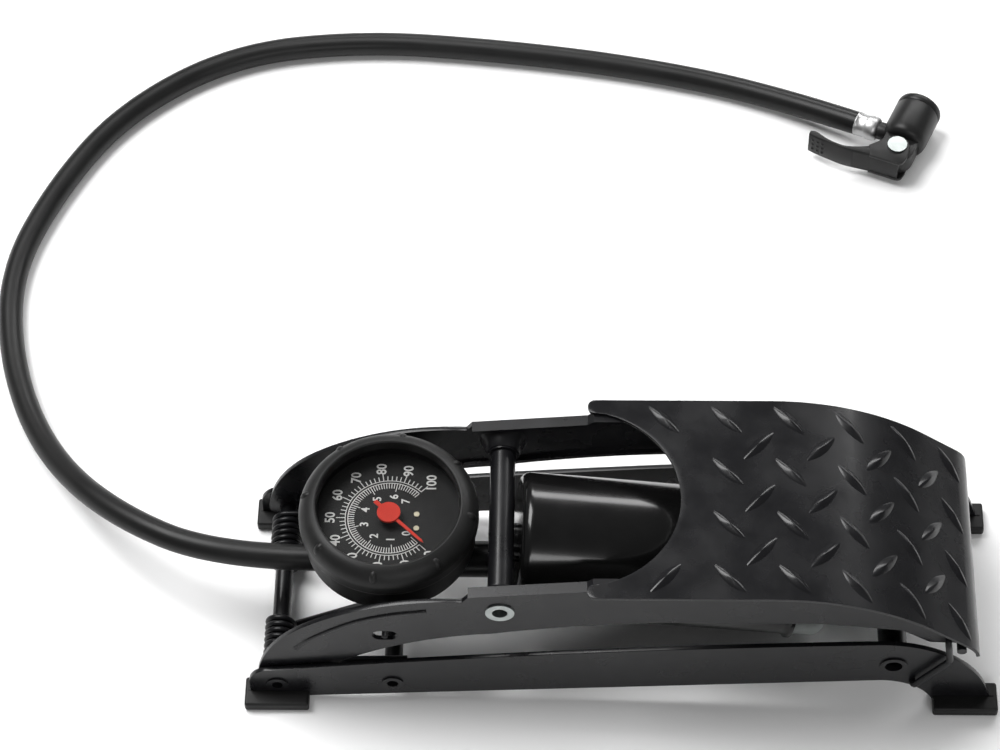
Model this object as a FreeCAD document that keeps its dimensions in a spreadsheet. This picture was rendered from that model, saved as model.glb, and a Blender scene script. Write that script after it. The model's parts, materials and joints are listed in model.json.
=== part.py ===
import FreeCAD, Part
import Sketcher
import math
import os

# Foot pump: a base of two rails, a treadle hinged at its left end, a barrel that hangs from the
# treadle and works on a rod held by the base, a gauge on the barrel's outlet, and a hose with a
# tyre chuck. Pump frame: X along the rails from the treadle's hinge line, Y across from the mid
# plane, Z up from the floor. Every piece is placed by adding (hinge_x, mid_y), so the row's
# origin is under the middle of the pump. Barrel frame: the same axes tilted by barrel_tilt, from
# a point on the bore's axis just under the treadle's pivot.

Vector = FreeCAD.Vector
Rotation = FreeCAD.Rotation
Placement = FreeCAD.Placement

doc = FreeCAD.newDocument("foot_pump")
sheet = doc.addObject("Spreadsheet::Sheet", "sizes")

SIZES = {
    # where the pump frame stands in the row's frame
    "hinge_x": -143.2, "mid_y": 1.05,
    # base rails and their feet
    "rail_out": 45.6, "sheet_wall": 2.0, "rail_left": -11.6, "flange_reach": 5.3,
    "flange_low": 1.5, "flange_long": 24.0, "cap_wide": 27.0, "cap_front": 6.8,
    "cap_deep": 13.5, "cap_tall": 5.2, "cap_left": -14.0, "cap_right": 273.4, "cap_round": 1.1,
    # pins across the base
    "hinge_z": 11.1, "spacer_x": 48.3, "spacer_z": 12.9, "axle_rad": 3.8, "axle_bore": 2.4,
    "rim_rad": 4.5, "rim_thick": 0.7, "run_gap": 0.05, "washer_rad": 5.8, "washer_thick": 0.5,
    "rod_x": 255.2, "rod_z": 30.1, "stub_rad": 4.6, "stub_bore": 3.6, "stub_rim": 5.7,
    # storage latch
    "latch_x": 263.8, "latch_z": 18.1, "latch_rad": 1.4, "latch_out": 48.3, "latch_head": 2.5,
    "latch_top": 52.0, "hook_long": 4.6,
    # torsion springs
    "coil_rad": 5.45, "wire_rad": 1.3, "coil_long": 22.4, "coil_turns": 7, "coil_near": 37.2,
    "coil_far": 35.2, "slot_x": 46.4, "slot_z": 46.6, "slot_half": 5.2, "slot_rad": 3.4,
    # treadle
    "arm_out": 42.8, "arm_flange": 5.0, "arm_curl": 3.6, "eye_rad": 5.55, "plate_half": 47.9,
    "plate_wall": 1.5, "plate_top": 85.5, "plate_start": 129.0, "plate_flat": 205.0,
    "plate_bend": 101.0, "plate_turn": 40.0, "plate_tail": 20.0, "nose_bend": 12.0,
    "pivot_x": 93.8, "pivot_z": 65.8, "pivot_rad": 4.0, "pivot_bore": 3.15, "pivot_rim": 5.9,
    "boss_half": 33.8, "boss_rad": 6.8, "boss_foot": 10.0, "shim_thick": 0.8, "shim_rad": 6.4,
    "peg_x": 281.5, "peg_z": 46.5, "peg_rad": 2.0, "peg_long": 5.7,
    # barrel
    "barrel_x": 91.93, "barrel_z": 51.6, "barrel_tilt": 7.5, "barrel_rad": 29.5,
    "bore_rad": 28.0, "barrel_near": 7.6, "barrel_far": 124.0, "barrel_round": 4.0,
    "lip_rad": 31.0, "head_far": 14.0, "head_half": 16.0, "head_low": 28.0, "head_tall": 38.0,
    "block_deep": 7.5, "riser_tall": 14.0, "spigot_rad": 8.0, "sleeve_rad": 5.25,
    "sleeve_half": 32.7, "endcap_near": 112.0, "endcap_far": 138.0, "bush_rad": 7.0,
    # rod and piston
    "rod_rad": 5.0, "rod_reach": 164.68, "cross_rad": 5.9, "cross_bore": 4.8,
    "cross_half": 43.3, "piston_near": 18.0, "piston_far": 30.0, "piston_rad": 27.5,
    "cup_far": 35.0, "cup_rad": 27.95, "nut_near": 14.6, "nut_rad": 6.5,
    # outlet and check valve
    "pipe_z": 37.1, "pipe_rad": 7.6, "pipe_left": 66.0, "pipe_right": 88.5, "chamber_rad": 5.0,
    "seat_x": 82.0, "seat_rad": 2.6, "ball_rad": 3.6, "valve_wire": 0.4, "valve_coil": 3.4,
    # gauge
    "gauge_x": 47.6, "tee_left": 22.0, "tee_rad": 7.0, "tee_bore": 3.0, "stem_rad": 8.0,
    "gauge_low": 49.0, "case_rad": 34.0, "case_wall": 1.5, "case_top": 74.4, "case_round": 6.0,
    "lens_rad": 33.8, "lens_thick": 1.6, "boot_rad": 37.0, "boot_low": 55.0, "boot_top": 80.8,
    "boot_eye": 29.4, "boot_sleeve": 35.2, "boot_ring": 67.5, "dial_rad": 31.5,
    "dial_z": 68.0, "dial_thick": 0.8, "socket_rad": 7.0,
    "socket_top": 61.0, "bourdon_rad": 22.0, "bourdon_tube": 1.9, "bourdon_z": 56.0,
    "works_long": 24.0, "works_wide": 18.0, "screw_rad": 1.15, "screw_hole": 0.6,
    "needle_z": 72.4, "needle_thick": 0.5, "needle_long": 20.4, "needle_tail": 8.2,
    "needle_angle": -44.2, "hub_rad": 4.8, "arbor_rad": 0.8, "arbor_long": 9.8,
    # hose and chuck
    "hose_rad": 5.5, "ferrule_long": 11.0, "ferrule_rad": 5.8, "chuck_x": 272.2,
    "chuck_y": 239.2, "chuck_z": 10.6, "chuck_angle": 65.5, "chuck_rad": 10.6,
    "barrel_low": 6.6, "barrel_high": 26.3, "valve_rad": 3.9, "seal_rad": 6.5, "chuck_end": 30.3,
    "block_long": 15.1, "block_half": 8.0, "block_round": 7.5, "neck_rad": 4.2,
    "neck_long": 9.0, "ear_gap": 9.8, "ear_thick": 1.6, "clinch_rad": 2.0, "clinch_head": 4.5,
}
for row, (name, value) in enumerate(SIZES.items(), start=1):
    sheet.set(f"A{row}", name)
    sheet.set(f"B{row}", repr(value))
    sheet.setAlias(f"B{row}", name)
doc.recompute()


def size(name):
    return float(sheet.get(name))


WALL = size("sheet_wall")
HINGE = (0.0, size("hinge_z"))
ALONG_X = Rotation(Vector(0, 1, 0), 90)
ALONG_Y = Rotation(Vector(1, 0, 0), -90)
UPRIGHT = Rotation()
TILTED = Rotation(Vector(0, 1, 0), size("barrel_tilt"))
ALONG_BORE = Rotation(Vector(0, 1, 0), 90 + size("barrel_tilt"))
nodes = {}


def keep(label, obj):
    obj.Label = label
    nodes[label] = obj
    return obj


# ---------------------------------------------------------------- placing and combining

def bind_place(obj, spin, x, y, z):
    """Stand an object at a point of the pump frame whose coordinates are expressions."""
    obj.Placement = Placement(Vector(), spin)
    for axis, text in (("x", f"sizes.hinge_x + ({x})"), ("y", f"sizes.mid_y + ({y})"), ("z", z)):
        obj.setExpression(f"Placement.Base.{axis}", text)
    return obj


def bore_point(along):
    """Expressions for a point on the bore's axis."""
    return (f"sizes.barrel_x + ({along}) * cos(sizes.barrel_tilt * 1deg)", "0",
            f"sizes.barrel_z - ({along}) * sin(sizes.barrel_tilt * 1deg)")


def rod(name, radius, length, spin, x, y, z):
    cylinder = doc.addObject("Part::Cylinder", name)
    cylinder.setExpression("Radius", radius)
    cylinder.setExpression("Height", length)
    return bind_place(cylinder, spin, x, y, z)


def cut(name, base, *tools):
    for index, tool in enumerate(tools):
        step = doc.addObject("Part::Cut", f"{name}_cut{index}")
        step.Base, step.Tool = base, tool
        base = step
    return base


def join(name, *shapes):
    fuse = doc.addObject("Part::MultiFuse", f"{name}_join")
    fuse.Shapes = list(shapes)
    return fuse


def ring(name, outer, inner, length, spin, x, y, z):
    """A plain tube."""
    return cut(name, rod(f"{name}_outer", outer, length, spin, x, y, z),
               rod(f"{name}_inner", inner, length, spin, x, y, z))


def tubular_rivet(name, radius, bore, rim, half, x, z):
    """A tube across the mid plane, with a rim outside +-half at each end."""
    tube = rod(f"{name}_tube", radius, f"2 * {half}", ALONG_Y, x, f"-{half}", z)
    near = rod(f"{name}_near", rim, "sizes.rim_thick", ALONG_Y, x,
               f"-{half} - sizes.rim_thick", z)
    far = rod(f"{name}_far", rim, "sizes.rim_thick", ALONG_Y, x, half, z)
    hole = rod(f"{name}_hole", bore, f"2 * {half} + 2 * sizes.rim_thick", ALONG_Y, x,
               f"-{half} - sizes.rim_thick", z)
    return cut(name, join(name, tube, near, far), hole)


# ---------------------------------------------------------------- sketches and bodies

def origin_item(body, role):
    return next(item for item in body.Origin.OriginFeatures if item.Role == role)


def sketch_on(body, role, offset=0.0):
    sketch = body.newObject("Sketcher::SketchObject", f"{body.Name}_sketch")
    sketch.AttachmentSupport = (origin_item(body, role), [""])
    sketch.MapMode = "FlatFace"
    sketch.AttachmentOffset = Placement(Vector(0, 0, offset), UPRIGHT)
    return sketch


def outline(sketch, start, steps):
    """Draw a closed outline. A step is an end point, or a point on an arc and its end."""
    here = start
    for step in list(steps) + [start]:
        curved = isinstance(step[0], tuple)
        end = step[1] if curved else step
        if curved:
            sketch.addGeometry(Part.Arc(Vector(*here), Vector(*step[0]), Vector(*end)), False)
        elif math.dist(here, end) > 1e-6:
            sketch.addGeometry(Part.LineSegment(Vector(*here), Vector(*end)), False)
        here = end
    return sketch


def draw(body, role, start, steps, offset=0.0):
    return outline(sketch_on(body, role, offset), start, steps)


def circle(body, role, centre, radius, offset=0.0):
    """A circle whose radius constraint follows a cell of the sheet."""
    sketch = sketch_on(body, role, offset)
    sketch.addGeometry(Part.Circle(Vector(*centre), Vector(0, 0, 1), 1.0), False)
    sketch.addConstraint(Sketcher.Constraint("Radius", 0, 1.0))
    sketch.setExpression("Constraints[0]", radius)
    return sketch


def pad(body, sketch, length, back=False, both=False):
    feature = body.newObject("PartDesign::Pad", f"{body.Name}_pad")
    feature.Profile = sketch
    feature.setExpression("Length", length)
    feature.Reversed = back
    feature.Midplane = both
    return feature


def pocket(body, sketch, length):
    """A pocket that runs the same way on both sides of its sketch."""
    feature = body.newObject("PartDesign::Pocket", f"{body.Name}_pocket")
    feature.Profile = sketch
    feature.setExpression("Length", length)
    feature.Midplane = True
    return feature


def turned(name, start, steps, spin, x, y, z):
    """A body of revolution about its own X axis, drawn as (along, radius)."""
    body = doc.addObject("PartDesign::Body", name)
    revolve = body.newObject("PartDesign::Revolution", f"{name}_turn")
    revolve.Profile = draw(body, "XY_Plane", start, steps)
    revolve.ReferenceAxis = (origin_item(body, "X_Axis"), [""])
    revolve.Angle = 360
    return bind_place(body, spin, x, y, z)


# ---------------------------------------------------------------- wires and tubes

def bent_path(points, radii):
    """Straight runs through the points, each corner rounded by a tangent arc."""
    edges, here = [], points[0]
    for before, corner, after, radius in zip(points, points[1:], points[2:], radii):
        back, ahead = (before - corner).normalize(), (after - corner).normalize()
        half_open = back.getAngle(ahead) / 2
        reach = radius / math.tan(half_open)
        inward = (back + ahead).normalize()
        middle = corner + inward * (radius / math.sin(half_open) - radius)
        start, end = corner + back * reach, corner + ahead * reach
        edges += [Part.LineSegment(here, start).toShape(), Part.Arc(start, middle, end).toShape()]
        here = end
    edges.append(Part.LineSegment(here, points[-1]).toShape())
    return Part.Wire(edges)


def swept(path, radius):
    start = path.Edges[0]
    tangent = start.tangentAt(start.FirstParameter)
    section = Part.Wire(Part.makeCircle(radius, start.Vertexes[0].Point, tangent))
    return path.makePipeShell([section], True, False)


def placed_feature(name, shape):
    """Keep a shape that is built in pump coordinates."""
    feature = doc.addObject("Part::Feature", name)
    feature.Shape = shape
    return bind_place(feature, UPRIGHT, "0", "0", "0")


# ---------------------------------------------------------------- base

NEAR_FACE, FAR_FACE = "-sizes.rail_out", "sizes.rail_out - sizes.sheet_wall"


def base_rail(label, face_y):
    """A flat stamping on edge, with a foot flange turned towards -Y under each end."""
    left, low, reach = size("rail_left"), size("flange_low"), size("flange_reach")
    body = doc.addObject("PartDesign::Body", label)
    web = draw(body, "XZ_Plane", (left, low), [
        (left, 12.3), ((-8.6, 19.2), (-1.9, 21.9)), ((134.5, 38.4), (247.0, 46.2)),
        ((263.5, 44.2), (276.5, 37.6)), ((289.0, 24.5), (295.6, 9.0)), (298.2, low),
        (273.6, low), ((266.0, 12.4), (251.0, 17.8)), (12.6, low)])
    pad(body, web, "sizes.sheet_wall", back=True)
    bend_top, bend_end = (0.0, low + 2 * WALL), (-WALL, low + WALL)
    bend_middle = (-WALL + WALL * math.cos(math.pi / 4), low + 2 * WALL - WALL * math.sin(math.pi / 4))
    for left_side in ("cap_left", "cap_right"):
        flange = draw(body, "YZ_Plane", (0.0, low), [
            bend_top, (bend_middle, bend_end), (-reach, low + WALL), (-reach, low)],
            offset=size(left_side) + 1.5)
        pad(body, flange, "sizes.flange_long")
    holes = ((HINGE, "sizes.axle_rad"), ((size("spacer_x"), size("spacer_z")), "sizes.axle_rad"),
             ((size("rod_x"), size("rod_z")), "sizes.stub_rad"),
             ((size("latch_x"), size("latch_z")), "sizes.latch_rad + sizes.run_gap"))
    for centre, radius in holes:
        body.Tip = pocket(body, circle(body, "XZ_Plane", centre, radius), "4 * sizes.sheet_wall")
    return keep(label, bind_place(body, UPRIGHT, "0", face_y, "0"))


def foot_cap(label, rail, left, face_y):
    """A rubber shoe with rounded edges, pushed over a foot flange."""
    block = doc.addObject("Part::Box", f"{label}_block")
    for side, text in (("Length", "sizes.cap_wide"), ("Width", "sizes.cap_deep"),
                       ("Height", "sizes.cap_tall")):
        block.setExpression(side, text)
    bind_place(block, UPRIGHT, left, f"{face_y} - sizes.cap_front", "0")
    rounded = doc.addObject("Part::Fillet", f"{label}_round")
    rounded.Base = block
    rounded.Edges = [(edge, size("cap_round"), size("cap_round")) for edge in range(1, 13)]
    return keep(label, cut(label, rounded, rail))


rail_near = base_rail("base_rail_near", NEAR_FACE)
rail_far = base_rail("base_rail_far", FAR_FACE)
doc.recompute()
for end, left in (("left", "sizes.cap_left"), ("right", "sizes.cap_right")):
    foot_cap(f"foot_cap_near_{end}", rail_near, left, NEAR_FACE)
    foot_cap(f"foot_cap_far_{end}", rail_far, left, FAR_FACE)

keep("hinge_axle_tube", tubular_rivet("hinge_axle", "sizes.axle_rad", "sizes.axle_bore",
                                      "sizes.rim_rad", "sizes.rail_out", "0", "sizes.hinge_z"))
keep("front_spacer_tube", tubular_rivet("front_spacer", "sizes.axle_rad", "sizes.axle_bore",
                                        "sizes.rim_rad", "sizes.rail_out", "sizes.spacer_x",
                                        "sizes.spacer_z"))


def end_stub(label, start_y, rim_y):
    """A short tubular rivet in one rail, flush with the rail's inner face."""
    place = ("sizes.rod_x", start_y, "sizes.rod_z")
    stub = rod(f"{label}_stub", "sizes.stub_rad", "sizes.sheet_wall", ALONG_Y, *place)
    rim = rod(f"{label}_rim", "sizes.stub_rim", "sizes.rim_thick", ALONG_Y, "sizes.rod_x", rim_y,
              "sizes.rod_z")
    hole = rod(f"{label}_hole", "sizes.stub_bore", "sizes.sheet_wall + 2 * sizes.rim_thick",
               ALONG_Y, "sizes.rod_x", f"{start_y} - sizes.rim_thick", "sizes.rod_z")
    return keep(label, cut(label, join(label, stub, rim), hole))


end_stub("rear_rivet_near", "-sizes.rail_out", "-sizes.rail_out - sizes.rim_thick")
end_stub("rear_rivet_far", "sizes.rail_out - sizes.sheet_wall", "sizes.rail_out")
for side, start_y in (("near", "-sizes.rail_out + sizes.sheet_wall"),
                      ("far", "sizes.rail_out - sizes.sheet_wall - sizes.washer_thick")):
    keep(f"hinge_washer_{side}", ring(f"hinge_washer_{side}", "sizes.washer_rad",
                                      "sizes.axle_rad", "sizes.washer_thick", ALONG_Y, "0",
                                      start_y, "sizes.hinge_z"))


def torsion_spring(outer):
    """A far-side spring: coils round the hinge axle, a leg to the arm's slot, a leg on the base."""
    coil, wire, height = size("coil_rad"), size("wire_rad"), size("coil_long")
    inner = outer - height
    slot = Vector(size("slot_x"), 0, size("slot_z"))
    rest = Vector(size("spacer_x") + 6, 0, size("spacer_z") + size("axle_rad") + wire + 0.3)

    def touch(target, side):
        """Angle where a line from the target meets the coil's circle."""
        dx, dz = target.x, target.z - HINGE[1]
        return math.atan2(dz, dx) + side * math.acos(coil / math.hypot(dx, dz))

    first, last = touch(slot, -1), touch(rest, 1)
    turns = size("coil_turns") + 1 + (first - last) / (2 * math.pi)
    helix = Part.makeHelix(height / turns, height, coil)
    start = Vector(coil, 0, 0)
    tangent = Vector(0, coil, height / turns / (2 * math.pi)).normalize()
    section = Part.Wire(Part.makeCircle(wire, start, tangent))
    coils = Part.Wire(helix.Edges).makePipeShell([section], True, True)
    coils.rotate(Vector(), Vector(0, 0, 1), -math.degrees(first))
    coils.Placement = Placement(Vector(HINGE[0], inner, HINGE[1]), ALONG_Y) * coils.Placement
    arm_start = Vector(coil * math.cos(first), inner, HINGE[1] + coil * math.sin(first))
    base_start = Vector(coil * math.cos(last), outer, HINGE[1] + coil * math.sin(last))
    turn_point = Vector(slot.x, inner + 10, slot.z)
    tip = Vector(slot.x, size("arm_out") + 0.8, slot.z)
    leg_up = swept(bent_path([arm_start, turn_point, tip], [2.5 * wire]), wire)
    leg_base = swept(bent_path([base_start, Vector(rest.x, outer, rest.z)], []), wire)
    spring = coils
    for start, leg in ((arm_start, leg_up), (base_start, leg_base)):
        spring = spring.fuse(Part.makeSphere(1.05 * wire, start)).fuse(leg)
    return spring


keep("torsion_spring_far", placed_feature("spring_far", torsion_spring(size("coil_far"))))
keep("torsion_spring_near", placed_feature(
    "spring_near", torsion_spring(size("coil_near")).mirror(Vector(), Vector(0, 1, 0))))

# ---------------------------------------------------------------- storage latch

out, pin_x, pin_z = -size("latch_out"), size("latch_x"), size("latch_z")
inner_face = -size("rail_out") + WALL
hook = Vector(275.6, out, size("latch_top"))
latch_points = [Vector(pin_x, inner_face + 1.1, pin_z), Vector(pin_x, out, pin_z),
                Vector(277.4, out, 38.5), hook, hook + Vector(0, size("hook_long"), 0)]
latch_wire = swept(bent_path(latch_points, [2.2, 4.0, 2.2]), size("latch_rad"))
latch_head = Part.makeCylinder(size("latch_head"), 1.0, Vector(pin_x, inner_face + 0.1, pin_z),
                               Vector(0, 1, 0))
keep("storage_latch_wire", placed_feature("storage_latch", latch_wire.fuse(latch_head)))

# ---------------------------------------------------------------- treadle


def tread_line(depth, tail):
    """The tread's top line, moved down by a depth: a flat, a wide bend, a straight tail."""
    turn = math.radians(size("plate_turn"))
    flat, top, bend = size("plate_flat"), size("plate_top"), size("plate_bend")
    centre_z, radius = top - bend, bend - depth

    def on_bend(angle):
        return (flat + radius * math.sin(angle), centre_z + radius * math.cos(angle))

    end = on_bend(turn)
    tail_end = (end[0] + tail * math.cos(turn), end[1] - tail * math.sin(turn))
    return (flat, top - depth), on_bend(turn / 2), end, tail_end


def nose_line(depth):
    """The round nose after the tail, moved in by a depth, and its short drop."""
    turn = math.radians(size("plate_turn"))
    tail_end = tread_line(0, size("plate_tail"))[3]
    bend = size("nose_bend")
    centre = (tail_end[0] - bend * math.sin(turn), tail_end[1] - bend * math.cos(turn))
    radius = bend - depth

    def at(degrees):
        angle = math.radians(90 - degrees)
        return (centre[0] + radius * math.cos(angle), centre[1] + radius * math.sin(angle))

    return at(size("plate_turn")), at(size("plate_turn") + 20), at(80)


def tread_plate():
    """A bent sheet cut to its plan: a deep hollow at the front leaves two round tips."""
    profile = doc.addObject("PartDesign::Body", "tread_profile")
    wall, start = size("plate_wall"), size("plate_start") - 2
    flat_o, bend_o, end_o, _ = tread_line(0, 0)
    flat_i, bend_i, end_i, _ = tread_line(wall, 0)
    nose_o, nose_i = nose_line(0), nose_line(wall)
    bent = draw(profile, "XZ_Plane", (start, size("plate_top")), [
        flat_o, (bend_o, end_o), nose_o[0], (nose_o[1], nose_o[2]), nose_i[2],
        (nose_i[1], nose_i[0]), end_i, (bend_i, flat_i), (start, size("plate_top") - wall)])
    pad(profile, bent, "2 * sizes.plate_half", both=True)
    bind_place(profile, UPRIGHT, "0", "0", "0")
    plan = doc.addObject("PartDesign::Body", "tread_plan")
    half, left = size("plate_half"), size("plate_start")
    edge = draw(plan, "XY_Plane", (left + 3, -half), [
        (320.0, -half), (320.0, half), (left + 3, half), ((left, half - 3.3), (left + 3, half - 6.6)),
        (left + 7, 40.9), ((158.0, 27.5), (167.0, 0.0)), ((158.0, -27.5), (left + 7, -40.9)),
        (left + 3, -half + 6.6), ((left, -half + 3.3), (left + 3, -half))])
    pad(plan, edge, "2 * sizes.plate_top", both=True)
    bind_place(plan, UPRIGHT, "0", "0", "0")
    both = doc.addObject("Part::Common", "tread_common")
    both.Base, both.Tool = profile, plan
    return keep("tread_plate", both)


def treadle_arm(label, side):
    """A stamped arm. side is -1 for the near one and 1 for the far one."""
    body = doc.addObject("PartDesign::Body", f"{label}_stamping")
    under = size("plate_wall")
    flat, bend, end, tail = tread_line(under, 20.5)
    lower = [(269.0, 44.5), (257.0, 53.5), (226.0, 58.0), (170.0, 58.5),
             ((130.0, 55.5), (90.0, 48.5)), ((52.0, 39.0), (24.0, 23.0))]
    eye = size("eye_rad")

    def on_eye(degrees):
        return (eye * math.cos(math.radians(degrees)),
                HINGE[1] + eye * math.sin(math.radians(degrees)))

    web = draw(body, "XZ_Plane", (4.2, HINGE[1] - eye), [
        on_eye(270), (on_eye(252), on_eye(234)), (-7.2, 9.5), ((-8.0, 11.5), (-8.1, 14.0)),
        ((-1.0, 36.0), (14.0, 53.0)), ((44.0, 68.5), (78.5, 72.8)), (81.0, 76.5), (129.0, 81.8),
        (131.5, flat[1]), flat, (bend, end), tail, (284.4, 43.6)] + lower)
    inward = side < 0
    pad(body, web, "sizes.sheet_wall", back=inward)
    flat_in, bend_in, end_in, tail_in = tread_line(under + WALL, 8)
    tail_out = tread_line(under, 8)[3]
    top = draw(body, "XZ_Plane", (81.0, 76.5), [
        (129.0, 81.8), (131.5, flat[1]), flat, (bend, end), tail_out, tail_in, end_in,
        (bend_in, flat_in), (132.0, flat_in[1]), (129.5, 79.8), (81.0, 74.5)])
    pad(body, top, "sizes.arm_flange", back=inward)
    curl = draw(body, "XZ_Plane", (226.0, 58.0), [
        (170.0, 58.5), ((130.0, 55.5), (90.0, 48.5)), ((52.0, 39.0), (24.0, 23.0)),
        (22.6, 24.4), ((51.0, 41.0), (89.6, 50.5)), ((129.6, 57.5), (170.0, 60.5)), (226.0, 60.0)])
    pad(body, curl, "sizes.arm_curl", back=inward)
    half, rad = size("slot_half"), size("slot_rad")
    x, z = size("slot_x"), size("slot_z")
    slot = draw(body, "XZ_Plane", (x - half + rad, z - rad), [
        (x + half - rad, z - rad), ((x + half, z), (x + half - rad, z + rad)),
        (x - half + rad, z + rad), ((x - half, z), (x - half + rad, z - rad))])
    pocket(body, slot, "4 * sizes.sheet_wall")
    hinge_hole = circle(body, "XZ_Plane", HINGE, "sizes.axle_rad + sizes.run_gap")
    body.Tip = pocket(body, hinge_hole, "4 * sizes.sheet_wall")
    bind_place(body, UPRIGHT, "0", f"{side} * sizes.arm_out", "0")
    boss = doc.addObject("Part::Cone", f"{label}_boss")
    boss.setExpression("Radius1", "sizes.boss_foot")
    boss.setExpression("Radius2", "sizes.boss_rad")
    boss.setExpression("Height", "sizes.arm_out - sizes.sheet_wall - sizes.boss_half")
    spin = ALONG_Y if inward else Rotation(Vector(1, 0, 0), 90)
    bind_place(boss, spin, "sizes.pivot_x", f"{side} * (sizes.arm_out - sizes.sheet_wall)",
               "sizes.pivot_z")
    hole = rod(f"{label}_hole", "sizes.pivot_rad", "2 * sizes.arm_out", ALONG_Y,
               "sizes.pivot_x", "-sizes.arm_out", "sizes.pivot_z")
    return keep(label, cut(label, join(label, body, boss), hole))


treadle_arm("treadle_arm_near", -1)
treadle_arm("treadle_arm_far", 1)
tread_plate()
keep("pivot_axle", tubular_rivet("pivot_axle", "sizes.pivot_rad", "sizes.pivot_bore",
                                 "sizes.pivot_rim", "sizes.arm_out", "sizes.pivot_x",
                                 "sizes.pivot_z"))
for side, start_y in (("near", "-sizes.boss_half"), ("far", "sizes.boss_half - sizes.shim_thick")):
    keep(f"pivot_washer_{side}", ring(f"pivot_washer_{side}", "sizes.shim_rad", "sizes.pivot_rad",
                                      "sizes.shim_thick", ALONG_Y, "sizes.pivot_x", start_y,
                                      "sizes.pivot_z"))
keep("latch_peg", rod("peg", "sizes.peg_rad", "sizes.peg_long", ALONG_Y, "sizes.peg_x",
                      "-sizes.arm_out - sizes.peg_long", "sizes.peg_z"))

# ---------------------------------------------------------------- barrel, head and end cap

ORIGIN_ON_BORE = bore_point("0")
near, far, round_ = size("barrel_near"), size("barrel_far"), size("barrel_round")
outer, bore, hub = size("barrel_rad"), size("bore_rad"), size("spigot_rad")
wall = outer - bore
corner = round_ * (1 - math.cos(math.pi / 4))
keep("cylinder_barrel", turned("cylinder_barrel", (near, hub), [
    (near, outer - round_), ((near + corner, outer - corner), (near + round_, outer)),
    (far - 4.0, outer), ((far - 2.4, outer + 0.5), (far - 1.5, size("lip_rad"))),
    (far, size("lip_rad")), (far, bore), (near + round_, bore),
    ((near + wall + 0.7, bore - 0.7), (near + wall, bore - round_ + wall)),
    (near + wall, hub)], TILTED, *ORIGIN_ON_BORE))

head_disc = rod("head_disc", "sizes.bore_rad - sizes.barrel_round",
                "sizes.head_far - sizes.barrel_near - (sizes.barrel_rad - sizes.bore_rad)",
                ALONG_BORE, *bore_point("sizes.barrel_near + sizes.barrel_rad - sizes.bore_rad"))
head_spigot = rod("head_spigot", "sizes.spigot_rad", "sizes.head_far", ALONG_BORE,
                  *bore_point("0"))
head_block = doc.addObject("Part::Box", "head_block")
for side, text in (("Length", "sizes.block_deep"), ("Width", "2 * sizes.head_half"),
                   ("Height", "sizes.head_tall")):
    head_block.setExpression(side, text)
bind_place(head_block, UPRIGHT, "sizes.pipe_right", "-sizes.head_half", "sizes.head_low")
saddle = rod("head_saddle", "sizes.sleeve_rad", "40", ALONG_Y, "sizes.pivot_x", "-20",
             "sizes.pivot_z")
inlet = rod("head_inlet", "sizes.seat_rad", "sizes.head_far", ALONG_BORE, *bore_point("0"))
riser = rod("head_riser", "sizes.seat_rad", "sizes.riser_tall", UPRIGHT,
            "sizes.barrel_x", "0", "sizes.pipe_z")
port = rod("head_port", "sizes.seat_rad", "sizes.barrel_x - sizes.pipe_right + 2", ALONG_X,
           "sizes.pipe_right", "0", "sizes.pipe_z")
keep("cylinder_head", cut("cylinder_head", join("cylinder_head", head_disc, head_spigot,
                                                head_block), saddle, inlet, riser, port))
keep("pivot_sleeve", ring("pivot_sleeve", "sizes.sleeve_rad", "sizes.pivot_rad + sizes.run_gap",
                          "2 * sizes.sleeve_half", ALONG_Y, "sizes.pivot_x",
                          "-sizes.sleeve_half", "sizes.pivot_z"))

cap_in, cap_out, bush = size("endcap_near"), size("endcap_far"), size("bush_rad")
cap_rad, cap_round = outer - 0.2, 5.0
cap_corner = cap_round * (1 - math.cos(math.pi / 4))
keep("cylinder_end_cap", turned("cylinder_end_cap", (cap_in, bush), [
    (cap_in, bore), (far, bore), (far, cap_rad), (cap_out - cap_round, cap_rad),
    ((cap_out - cap_corner, cap_rad - cap_corner), (cap_out, cap_rad - cap_round)),
    (cap_out, bush)], TILTED, *ORIGIN_ON_BORE))
keep("rod_bushing", ring("rod_bushing", "sizes.bush_rad", "sizes.rod_rad + sizes.run_gap",
                         "sizes.endcap_far - sizes.endcap_near + 1", ALONG_BORE,
                         *bore_point("sizes.endcap_near")))

# ---------------------------------------------------------------- piston and rod

keep("piston", ring("piston", "sizes.piston_rad", "sizes.rod_rad",
                    "sizes.piston_far - sizes.piston_near", ALONG_BORE,
                    *bore_point("sizes.piston_near")))
cup_start, cup_end, cup_rad = size("piston_far"), size("cup_far"), size("cup_rad")
keep("piston_cup_seal", turned("piston_cup_seal", (cup_start, size("rod_rad")), [
    (cup_start, cup_rad), (cup_end, cup_rad), (cup_end, cup_rad - 2.0),
    (cup_start + 2.0, cup_rad - 3.0), (cup_start + 2.0, size("rod_rad"))],
    TILTED, *ORIGIN_ON_BORE))
keep("piston_nut", ring("piston_nut", "sizes.nut_rad", "sizes.rod_rad",
                        "sizes.piston_near - sizes.nut_near", ALONG_BORE,
                        *bore_point("sizes.nut_near")))
cross_tool = rod("rod_end_tool", "sizes.cross_rad", "2 * sizes.cross_half", ALONG_Y,
                 "sizes.rod_x", "-sizes.cross_half", "sizes.rod_z")
shank = rod("rod_shank", "sizes.rod_rad", "sizes.rod_reach - sizes.nut_near", ALONG_BORE,
            *bore_point("sizes.nut_near"))
keep("piston_rod", cut("piston_rod", shank, cross_tool))
keep("rod_cross_sleeve", ring("rod_cross_sleeve", "sizes.cross_rad", "sizes.cross_bore",
                              "2 * sizes.cross_half", ALONG_Y, "sizes.rod_x",
                              "-sizes.cross_half", "sizes.rod_z"))

# ---------------------------------------------------------------- outlet, check valve and tee

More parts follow.
